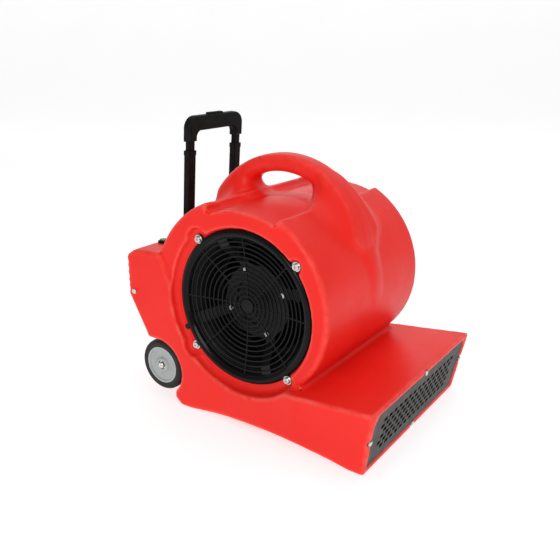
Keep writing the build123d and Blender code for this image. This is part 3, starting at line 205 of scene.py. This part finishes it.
FINISHES = {
    "shell_red": dict(
        dark=(0.88, 0.016, 0.010), light=(0.95, 0.024, 0.016), roughness=(0.34, 0.44), mottle=7.0,
        # on the red shell the pale edge colour is a painted edge highlight, and the dark inside colour is
        # painted shade
        grain=1500.0, grain_depth=0.00005, wave_depth=0.0004, specular=0.20, edge_wear_and_highlight=((1.0, 0.13, 0.10), 0.75),
        inside_shade=(0.030, 0.006, 0.005),
    ),
    "black_gloss": dict(
        dark=grey(0.003), light=grey(0.006), roughness=(0.10, 0.18), grain=1100.0, grain_depth=0.00001,
        edge_wear_and_highlight=(grey(0.02), 0.3), specular=0.12,
    ),
    "zinc_steel": dict(
        dark=(0.50, 0.50, 0.48), light=(0.74, 0.74, 0.72), roughness=(0.20, 0.38), metallic=1.0,
        mottle=160.0, grain=2600.0, grain_depth=0.00002,
    ),
    "galvanised_sheet": dict(
        dark=grey(0.004), light=grey(0.008), roughness=(0.40, 0.55), mottle=70.0, grain=1400.0, specular=0.2,
    ),
    "grey_sheet": dict(
        dark=(0.040, 0.040, 0.037), light=(0.054, 0.054, 0.050), roughness=(0.45, 0.60), mottle=30.0,
        grain=2400.0, grain_depth=0.00008, edge_wear_and_highlight=(grey(0.2), 0.3), specular=0.15,
    ),
    "motor_black": dict(
        dark=grey(0.004), light=grey(0.009), roughness=(0.34, 0.50), mottle=60.0, grain=1300.0, specular=0.25,
    ),
    "steel": dict(
        dark=(0.42, 0.42, 0.43), light=grey(0.60), roughness=(0.22, 0.36), metallic=1.0, mottle=90.0,
        grain=700.0, stretch=(0.06, 1.0, 1.0), grain_depth=0.00003,
    ),
    "lamination": dict(
        dark=(0.13, 0.13, 0.14), light=(0.24, 0.24, 0.25), roughness=(0.40, 0.60), metallic=0.8, mottle=40.0,
        grain=1200.0, stretch=(3.0, 0.05, 0.05), grain_depth=0.0002,
    ),
    "copper": dict(
        dark=(0.48, 0.16, 0.06), light=(0.70, 0.30, 0.12), roughness=(0.25, 0.40), metallic=0.85, mottle=90.0,
        grain=420.0, stretch=(0.3, 1.4, 1.4), grain_depth=0.0006,
    ),
    "fan_black": dict(
        dark=grey(0.004), light=grey(0.008), roughness=(0.38, 0.55), mottle=50.0, grain=1200.0, specular=0.2,
    ),
    "hub_metal": dict(
        dark=grey(0.42), light=(0.60, 0.60, 0.59), roughness=(0.32, 0.5), metallic=1.0, mottle=60.0,
    ),
    "tyre_rubber": dict(
        dark=(0.008, 0.010, 0.009), light=(0.018, 0.020, 0.019), roughness=(0.45, 0.65), mottle=40.0,
        grain=1000.0, grain_depth=0.00012, edge_wear_and_highlight=((0.05, 0.055, 0.05), 0.4), dust=((0.08, 0.08, 0.07), 0.12),
        specular=0.2,
    ),
    "hub_grey": dict(
        dark=(0.33, 0.37, 0.36), light=(0.42, 0.46, 0.45), roughness=(0.30, 0.42), mottle=60.0, grain=1500.0,
        grain_depth=0.00005, edge_wear_and_highlight=((0.60, 0.62, 0.62), 0.5),
    ),
    "tube_black": dict(
        dark=(0.004, 0.003, 0.003), light=(0.008, 0.006, 0.006), roughness=(0.34, 0.46), mottle=40.0,
        grain=1500.0, grain_depth=0.00004, edge_wear_and_highlight=(grey(0.03), 0.3), specular=0.05,
    ),
    "handle_plastic": dict(
        dark=grey(0.005), light=grey(0.011), roughness=(0.42, 0.58), mottle=50.0, grain=1700.0,
        grain_depth=0.00010, edge_wear_and_highlight=(grey(0.02), 0.3), specular=0.06,
    ),
    "rocker_green": dict(
        dark=(0.020, 0.20, 0.045), light=(0.045, 0.34, 0.09), roughness=(0.16, 0.26), mottle=90.0,
        grain=1600.0, grain_depth=0.00002, coat=0.4,
    ),
    "capacitor_white": dict(
        dark=(0.62, 0.62, 0.58), light=(0.74, 0.74, 0.70), roughness=(0.34, 0.5), mottle=50.0, grain=1300.0,
    ),
    "clip_steel": dict(
        dark=(0.36, 0.36, 0.37), light=grey(0.52), roughness=(0.28, 0.42), metallic=1.0, mottle=80.0,
    ),
}
MATERIALS = {name: surface(name, **finish) for name, finish in FINISHES.items()}

for row in frame["record"]["subparts"]:
    node = frame["nodes"][row["node"]]
    node.data.materials.clear()
    node.data.materials.append(MATERIALS[row["material_slot"]])

# ---------------------------------------------------------------- moulded shell
# The CAD housing's outside is softened and blended as rotational moulding leaves it; its inside
# surfaces, holes and seats stay where the CAD has them. Everything here is in metres. A field is the
# signed distance to a surface at each point of a grid, negative inside. A span says where an effect
# starts and where it is full.
VOXEL = 0.0025
BAND = 10                       # half width of the distance band, in voxels
MARGIN = 14                     # free voxels round the housing
BACKGROUND = BAND * VOXEL
GRID_TRANSFORM = openvdb.createLinearTransform(voxelSize=VOXEL)

# the CAD housing's drum, the deck sunk into its top, and the carry arch
FAN_Y, FAN_Z = 0.0065, 0.2215
DRUM_HALF, DRUM_EDGE_R = 0.168, 0.008
SPIRAL_R0, SPIRAL_GROWTH = 0.169, 0.0096
DECK_Y, DECK_HALF_LENGTH = 0.006, 0.072
DECK_ARC_Y, DECK_ARC_Z, DECK_ARC_R = 0.0085, 0.202, 0.187
ARCH_Y, ARCH_Z, ARCH_R, ARCH_INNER_R = 0.0265, 0.287, 0.175, 0.143
ARCH_HALF, ARCH_REAR_Y, ARCH_EDGE_R = 0.024, 0.172, 0.013
OPENING_Y, OPENING_Z, OPENING_HALF = 0.028, 0.386, 0.065

# plugs for the CAD housing's openings, each as wide as its opening or a little wider
INTAKE_PLUG_R, INTAKE_PLUG_X = 0.1265, (0.1500, 0.1575)
AXLE_Y, AXLE_Z, AXLE_PLUG_R, AXLE_PLUG_HALF = 0.201, 0.0655, 0.0075, 0.1335
BOX_TOP_Y, BOX_TOP_Z, BOX_TOP_SLOPE = 0.2465, 0.289, math.radians(1.5)
SWITCH_X, SWITCH_Y, SWITCH_Z = (-0.107, 0.0, 0.107), 0.230, 0.2894
SWITCH_PLUG_HALF, SWITCH_PLUG_DEPTH = (0.0078, 0.0113), 0.020
TUBE_X, TUBE_Y, TUBE_Z, TUBE_LEAN = 0.067, 0.1947, 0.460, math.radians(4.3)
TUBE_PLUG_HALF, TUBE_PLUG_DEPTH = (0.0125, 0.009), 0.012
FACE_Y, SNOUT_LEAN = -0.24358, 0.19      # the outlet face: where it meets the floor, and its lean
MOUTH_DEPTH, MOUTH_HALF_DEPTH = 0.0095, 0.0045
MOUTH_HALF, MOUTH_Z, MOUTH_HALF_HEIGHT = 0.182, 0.0595, 0.0515
GLAND_X, GLAND_Y, GLAND_Z = 0.118, 0.2455, 0.163
GLAND_PLUG_R, GLAND_PLUG_DEPTH = 0.0083, 0.014
GLAND_NORMAL = np.array([74.0, -41.0]) / math.hypot(74, 41)
PLUG_SUNK = 0.0008              # how far a plug ends under the face it closes

# finding the outside and the inside
LEAK_GAP = 0.0055               # the outside doesn't creep into gaps narrower than twice this
LEAK_STEPS = 3                  # voxels it then grows back, up to the surface
HOLLOW = -0.001                 # what a closed-off hollow counts as: inside
SURFACE = -0.00005              # and the most that anything inside counts as
CAVITY_SKIN = 0.0015            # the cavity stops this far under the moulded outside
PLUG_RIM = 0.003                # and takes this much round a plug, so that its opening stays open
# a face deeper than DARK_DEPTH gets painted shade
DARK_DEPTH = -0.0035            # a face deeper than this is darkened

# softening: blur widths, and the spans of each kind; forwards is -Y, and a share is of the broad blur
FINE_BLUR, SOFT_BLUR, BROAD_BLUR, SADDLE_BLUR = 0.0013, 0.0022, 0.0060, 0.004
RIBS_Y, RIBS_Z = (0.236, 0.250), (0.190, 0.205)
DISCS_X, DISCS_Z = (0.152, 0.160), (0.110, 0.130)
SNOUT_FORWARDS, SNOUT_Z, SNOUT_SHARE = (0.130, 0.170), (0.03, 0.06), 0.18
ARCH_FOOT_Z, ARCH_FOOT_HALF, ARCH_FOOT_FADE = (0.345, 0.385), 0.150, (0.0, 0.03)
ARCH_FRONT_SHARE, ARCH_BACK_Y = 0.6, (0.045, 0.065)

# fillets between drum and arch, and the ridge that carries the arch's line down the drum's front
FILLET, FRONT_FILLET, REAR_FILLET = 0.012, 0.060, 0.050
FRONT_LEG_FORWARDS, FRONT_LEG_Z = (0.028, 0.075), (0.300, 0.350)
REAR_LEG_Y = (0.080, 0.120)
RIDGE_HEIGHT, RIDGE_FORWARDS, RIDGE_Z = 0.005, (0.030, 0.090), (0.190, 0.290)
RIDGE_HALF_LOW, RIDGE_HALF_GAIN, RIDGE_WIDENS_Z = 0.003, 0.013, (0.270, 0.350)
RIDGE_FLANK = (0.0, 0.028)
SADDLE_BOTTOM_Z, SADDLE_HALF = 0.180, 0.125
SADDLE_SUNK = 0.0004            # keeps the saddle from showing where it only repeats the drum

low, high = (np.array(v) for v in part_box("housing"))
origin = np.floor(low / VOXEL).astype(int) - MARGIN
shape = tuple(np.ceil(high / VOXEL).astype(int) + MARGIN - origin)
axes = [(origin[i] + np.arange(shape[i])) * VOXEL for i in range(3)]
GX = axes[0][:, None, None]
GY = axes[1][None, :, None]
GZ = axes[2][None, None, :]
SIDE = np.abs(GX)


def both(*fields):
    """What all of the solids have in common."""
    total = fields[0]
    for field in fields[1:]:
        total = np.maximum(total, field)
    return total


def distance_field(points, triangles, quads=None):
    """Signed distance on the working grid from a closed mesh, in metres, cut off at the band."""
    grid = openvdb.FloatGrid.createLevelSetFromPolygons(
        np.ascontiguousarray(points, np.float32),
        triangles=np.ascontiguousarray(triangles, np.uint32),
        **({} if quads is None else {"quads": np.ascontiguousarray(quads, np.uint32)}),
        transform=GRID_TRANSFORM, halfWidth=BAND,
    )
    field = np.zeros(shape, np.float32)
    grid.copyToArray(field, ijk=tuple(int(v) for v in origin))
    return field


def contour(field):
    """Points, triangles and quads of the field's zero surface."""
    grid = openvdb.FloatGrid(BACKGROUND)
    grid.transform = GRID_TRANSFORM
    grid.copyFromArray(np.ascontiguousarray(field, np.float32), ijk=tuple(int(v) for v in origin))
    return grid.convertToPolygons(isovalue=0.0, adaptivity=0.0)


def blurred(field, sigma):
    """Gaussian blur of a field, sigma in metres."""
    reach = int(math.ceil(2.6 * sigma / VOXEL))
    taps = np.exp(-0.5 * (np.arange(-reach, reach + 1) * VOXEL / sigma) ** 2)
    taps /= taps.sum()
    for axis in range(3):
        padding = [(reach, reach) if other == axis else (0, 0) for other in range(3)]
        padded = np.pad(field, padding, mode="edge")
        total = np.zeros_like(field)
        for k, tap in enumerate(taps):
            cut = [slice(None)] * 3
            cut[axis] = slice(k, k + field.shape[axis])
            total += tap * padded[tuple(cut)]
        field = total
    return field


def smoothstep(value, span):
    """0 before the span, 1 after it, and a smooth step between."""
    start, full = span
    t = np.clip((value - start) / (full - start), 0, 1)
    return t * t * (3 - 2 * t)


def smooth_union(a, b, k):
    """The union of two solids, with a fillet of about k between them."""
    h = np.clip(0.5 + 0.5 * (b - a) / k, 0, 1)
    return b * (1 - h) + a * h - k * h * (1 - h)


def cylinder_x(y, z, radius, x_low, x_high):
    """A cylinder along the machine's width."""
    ends = np.abs(GX - (x_low + x_high) / 2) - (x_high - x_low) / 2
    return both(np.hypot(GY - y, GZ - z) - radius, ends)


def flood(free):
    """Free voxels that can be reached from the grid's corner, by sweeps along the axes."""
    reached = np.zeros_like(free)
    reached[0, 0, 0] = True
    count = 0
    while True:
        for axis in range(3):
            r, f = np.moveaxis(reached, axis, 0), np.moveaxis(free, axis, 0)
            for order in (range(1, len(r)), range(len(r) - 2, -1, -1)):
                for i in order:
                    r[i] |= f[i] & r[i - order.step]
        now = int(reached.sum())
        if now == count:
            return reached
        count = now


def grown(mask, allowed):
    """The mask and the voxels next to it, where allowed."""
    out = mask.copy()
    for axis in range(3):
        o, m = np.moveaxis(out, axis, 0), np.moveaxis(mask, axis, 0)
        o[1:] |= m[:-1]
        o[:-1] |= m[1:]
    return out & allowed


def cad_field(obj):
    """The distance field of a CAD node."""
    mesh = obj.data
    mesh.calc_loop_triangles()
    points = np.empty(len(mesh.vertices) * 3, np.float32)
    mesh.vertices.foreach_get("co", points)
    triangles = np.empty(len(mesh.loop_triangles) * 3, np.int32)
    mesh.loop_triangles.foreach_get("vertices", triangles)
    return distance_field(points.reshape(-1, 3), triangles.reshape(-1, 3))


def opening_plugs():
    """Solids that close the CAD housing's openings, while its outside is found."""
    slope_sin, slope_cos = math.sin(BOX_TOP_SLOPE), math.cos(BOX_TOP_SLOPE)
    above_deck = (GY - BOX_TOP_Y) * slope_sin + (GZ - BOX_TOP_Z) * slope_cos
    along_deck = (GY - SWITCH_Y) * slope_cos - (GZ - SWITCH_Z) * slope_sin
    across_tube = (GY - TUBE_Y) * math.cos(TUBE_LEAN) + (GZ - TUBE_Z) * math.sin(TUBE_LEAN)

    def in_deck(outline, depth):
        return both(outline, above_deck + PLUG_SUNK, -(above_deck + depth))

    plugs = [cylinder_x(AXLE_Y, AXLE_Z, AXLE_PLUG_R, -AXLE_PLUG_HALF, AXLE_PLUG_HALF)]
    for side in (-1, 1):
        plugs.append(cylinder_x(FAN_Y, FAN_Z, INTAKE_PLUG_R, *sorted(side * x for x in INTAKE_PLUG_X)))
        tube = both(np.abs(GX - side * TUBE_X) - TUBE_PLUG_HALF[0], np.abs(across_tube) - TUBE_PLUG_HALF[1])
        plugs.append(in_deck(tube, TUBE_PLUG_DEPTH))
    for x in SWITCH_X:
        switch = both(np.abs(GX - x) - SWITCH_PLUG_HALF[0], np.abs(along_deck) - SWITCH_PLUG_HALF[1])
        plugs.append(in_deck(switch, SWITCH_PLUG_DEPTH))

    normal_y, normal_z = GLAND_NORMAL
    gland_out = (GY - GLAND_Y) * normal_y + (GZ - GLAND_Z) * normal_z
    gland_up = -(GY - GLAND_Y) * normal_z + (GZ - GLAND_Z) * normal_y
    gland = np.hypot(GX - GLAND_X, gland_up) - GLAND_PLUG_R
    plugs.append(both(gland, gland_out + PLUG_SUNK, -(gland_out + GLAND_PLUG_DEPTH)))

    behind_face = (GY - FACE_Y + SNOUT_LEAN * GZ) / math.hypot(1, SNOUT_LEAN)
    mouth = both(SIDE - MOUTH_HALF, np.abs(GZ - MOUTH_Z) - MOUTH_HALF_HEIGHT)
    plugs.append(both(np.abs(behind_face - MOUTH_DEPTH) - MOUTH_HALF_DEPTH, mouth))
    return plugs


def filled_solid(closed):
    """The closed housing with its hollow filled in."""
    outside = flood(closed > LEAK_GAP)
    for _ in range(LEAK_STEPS):
        outside = grown(outside, closed > 0)
    hollow = np.minimum(np.where(closed < 0, closed, HOLLOW), SURFACE)
    return distance_field(*contour(np.where(outside, closed, hollow).astype(np.float32)))


def softened(filled):
    """Rounder edges: little on the ribbed rear face and the discs, most where the arch grows out."""
    fine, soft, broad = (blurred(filled, sigma) for sigma in (FINE_BLUR, SOFT_BLUR, BROAD_BLUR))
    near_ribs = smoothstep(GY, RIBS_Y) * smoothstep(GZ, RIBS_Z)
    near_discs = smoothstep(SIDE, DISCS_X) * smoothstep(GZ, DISCS_Z)
    near_snout = smoothstep(-GY, SNOUT_FORWARDS) * smoothstep(GZ, SNOUT_Z)
    near_arch = smoothstep(GZ, ARCH_FOOT_Z) * smoothstep(ARCH_FOOT_HALF - SIDE, ARCH_FOOT_FADE)
    near_arch = near_arch * (ARCH_FRONT_SHARE + (1 - ARCH_FRONT_SHARE) * smoothstep(GY, ARCH_BACK_Y))
    outer = soft + (broad - soft) * np.maximum(near_arch, SNOUT_SHARE * near_snout)
    return outer + (fine - outer) * np.maximum(near_ribs, near_discs)


def rounded_prism(outline, width, radius):
    """A solid with an outline and a half width, rounded where they meet."""
    a, b = outline + radius, width + radius
    return np.hypot(np.maximum(a, 0), np.maximum(b, 0)) - radius + np.minimum(np.maximum(a, b), 0)


def arch_saddle():
    """The drum and the carry arch, with the fillets between them and the ridge down the drum's front."""
    turned = np.arctan2(GZ - FAN_Z, FAN_Y - GY)
    scroll = np.hypot(GY - FAN_Y, GZ - FAN_Z) - (SPIRAL_R0 + SPIRAL_GROWTH * turned)
    deck_ends = np.abs(GY - DECK_Y) - DECK_HALF_LENGTH
    recess = both(deck_ends, DECK_ARC_R - np.hypot(GY - DECK_ARC_Y, GZ - DECK_ARC_Z))
    drum = rounded_prism(both(scroll, -recess), SIDE - DRUM_HALF, DRUM_EDGE_R)

    from_arch = np.hypot(GY - ARCH_Y, GZ - ARCH_Z)
    opening = both(from_arch - ARCH_INNER_R, np.abs(GY - OPENING_Y) - OPENING_HALF, OPENING_Z - GZ)
    ring = both(from_arch - ARCH_R, -opening, GY - ARCH_REAR_Y)
    arch = rounded_prism(ring, SIDE - ARCH_HALF, ARCH_EDGE_R)

    front_leg = smoothstep(-GY, FRONT_LEG_FORWARDS) * smoothstep(GZ, FRONT_LEG_Z)
    fillet = FILLET + FRONT_FILLET * front_leg + REAR_FILLET * smoothstep(GY, REAR_LEG_Y)
    saddle = smooth_union(drum, arch, fillet)
    saddle = both(saddle, np.minimum(from_arch - ARCH_R, drum))

    ridge_half = RIDGE_HALF_LOW + RIDGE_HALF_GAIN * smoothstep(GZ, RIDGE_WIDENS_Z)
    ridge = RIDGE_HEIGHT * smoothstep(-GY, RIDGE_FORWARDS) * smoothstep(GZ, RIDGE_Z)
    ridge = ridge * (1 - smoothstep(SIDE - ridge_half, RIDGE_FLANK))
    saddle = np.minimum(saddle, drum - ridge)
    saddle = both(saddle, SADDLE_BOTTOM_Z - GZ, SIDE - SADDLE_HALF)
    return blurred(np.clip(saddle, -BACKGROUND, BACKGROUND).astype(np.float32), SADDLE_BLUR)


def add_object(name, mesh, material):
    mesh.materials.append(material)
    obj = bpy.data.objects.new(name, mesh)
    bpy.context.scene.collection.objects.link(obj)
    return obj


def moulded_shell():
    """The softened outside, cut by the CAD housing's own cavity and openings."""
    cad = cad_field(frame["nodes"]["housing"])
    plugs = opening_plugs()
    closed = cad
    for plug in plugs:
        closed = np.minimum(closed, plug.astype(np.float32))
    filled = filled_solid(closed)
    outer = np.minimum(softened(filled), arch_saddle() + SADDLE_SUNK)

    void = both(-cad, filled + CAVITY_SKIN)
    for plug in plugs:
        void = np.minimum(void, both(-cad, plug - PLUG_RIM))
    points, triangles, quads = contour(both(outer, -void))
    # faces deep inside the housing, marked for painted shade
    cell = np.rint(points / VOXEL).astype(int) - origin
    inside = filled[tuple(np.clip(cell, 0, np.array(shape) - 1).T)] < DARK_DEPTH

    mesh = bpy.data.meshes.new("moulded_housing")
    mesh.from_pydata(points.tolist(), [], triangles.tolist() + quads.tolist())
    mesh.shade_smooth()
    mesh.attributes.new("inside", "FLOAT", "POINT").data.foreach_set("value", inside.astype(np.float32))
    return add_object("moulded_housing", mesh, MATERIALS["shell_red"])


shell = moulded_shell()
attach(shell, "root")
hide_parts("housing")

# ---------------------------------------------------------------- floor, light and camera
CAMERA_PLACE = (-1.038, -0.6695, 0.6442)
CAMERA_RIGHT = Vector((0.565, -0.825, 0.0))
CAMERA_BACK = Vector((-0.782, -0.5355, 0.319)).normalized()
CAMERA_LENS = 45.02
SENSOR_WIDTH = 36.0
PAPER_HALF = 9.0
PAPER_FRONT = (-8.0, -2.0)      # its front edge and a line across it; plus is away from the camera
BEND_START, BEND_R, BEND_STEPS = 4.0, 1.5, 12
PAPER_TOP = 6.0
PAPER_GREYS, PAPER_GLOW = (0.62, 0.64), 0.62
WORLD_LIGHT = 0.32
SOFTBOXES = {
    # name: place, what it points at, size in metres, power in watts
    "key_softbox": ((-2.8, -1.2, 1.7), (0, 0, 0.22), (1.8, 1.4), 40),
    "top_softbox": ((0.3, -0.3, 2.8), (0, 0, 0.2), (2.4, 2.4), 22),
    "fill_softbox": ((0.8, -2.6, 1.0), (0, 0, 0.2), (1.6, 1.4), 1.5),
}


def studio_paper():
    """A sheet of studio paper: flat floor, rising in a bend far behind the machine."""
    profile = [(distance, 0.0) for distance in PAPER_FRONT]
    for i in range(BEND_STEPS + 1):
        turn = math.radians(90 / BEND_STEPS * i)
        profile.append((BEND_START + BEND_R * math.sin(turn), BEND_R * (1 - math.cos(turn))))
    profile.append((BEND_START + BEND_R, PAPER_TOP))
    away = Vector((-CAMERA_BACK.x, -CAMERA_BACK.y, 0)).normalized()
    across = away.cross(Vector((0, 0, 1)))
    points = []
    for distance, height in profile:
        for half in (-PAPER_HALF, PAPER_HALF):
            points.append(away * distance + across * half + Vector((0, 0, height)))
    faces = [(2 * i + 1, 2 * i, 2 * i + 2, 2 * i + 3) for i in range(len(profile) - 1)]
    mesh = bpy.data.meshes.new("studio_floor")
    mesh.from_pydata(points, [], faces)
    mesh.shade_smooth()
    paper = surface(
        "studio_paper", *map(grey, PAPER_GREYS), (0.9, 1.0), mottle=3.0, grain=300.0, specular=0.1,
        glow=PAPER_GLOW,
    )
    return add_object("studio_floor", mesh, paper)


def softbox(name, place, target, size, power):
    data = bpy.data.lights.new(name, "AREA")
    data.shape = "RECTANGLE"
    data.size, data.size_y = size
    data.energy = power
    light = bpy.data.objects.new(name, data)
    bpy.context.scene.collection.objects.link(light)
    light.location = place
    light.rotation_euler = (Vector(target) - Vector(place)).to_track_quat("-Z", "Y").to_euler()


def photo_camera():
    data = bpy.data.cameras.new("photo_camera")
    data.sensor_width = SENSOR_WIDTH
    data.lens = CAMERA_LENS
    data.clip_end = 50.0
    camera = bpy.data.objects.new("photo_camera", data)
    bpy.context.scene.collection.objects.link(camera)
    right = (CAMERA_RIGHT - CAMERA_RIGHT.dot(CAMERA_BACK) * CAMERA_BACK).normalized()
    turn = Matrix((right, CAMERA_BACK.cross(right), CAMERA_BACK)).transposed().to_4x4()
    camera.matrix_world = Matrix.Translation(CAMERA_PLACE) @ turn
    return camera


studio_paper()
world = bpy.data.worlds.new("studio_world")
world.use_nodes = True
world.node_tree.nodes["Background"].inputs["Color"].default_value = (1, 1, 1, 1)
world.node_tree.nodes["Background"].inputs["Strength"].default_value = WORLD_LIGHT
bpy.context.scene.world = world
bpy.context.scene.view_settings.view_transform = "Standard"
for name, settings in SOFTBOXES.items():
    softbox(name, *settings)
bpy.context.scene.camera = photo_camera()
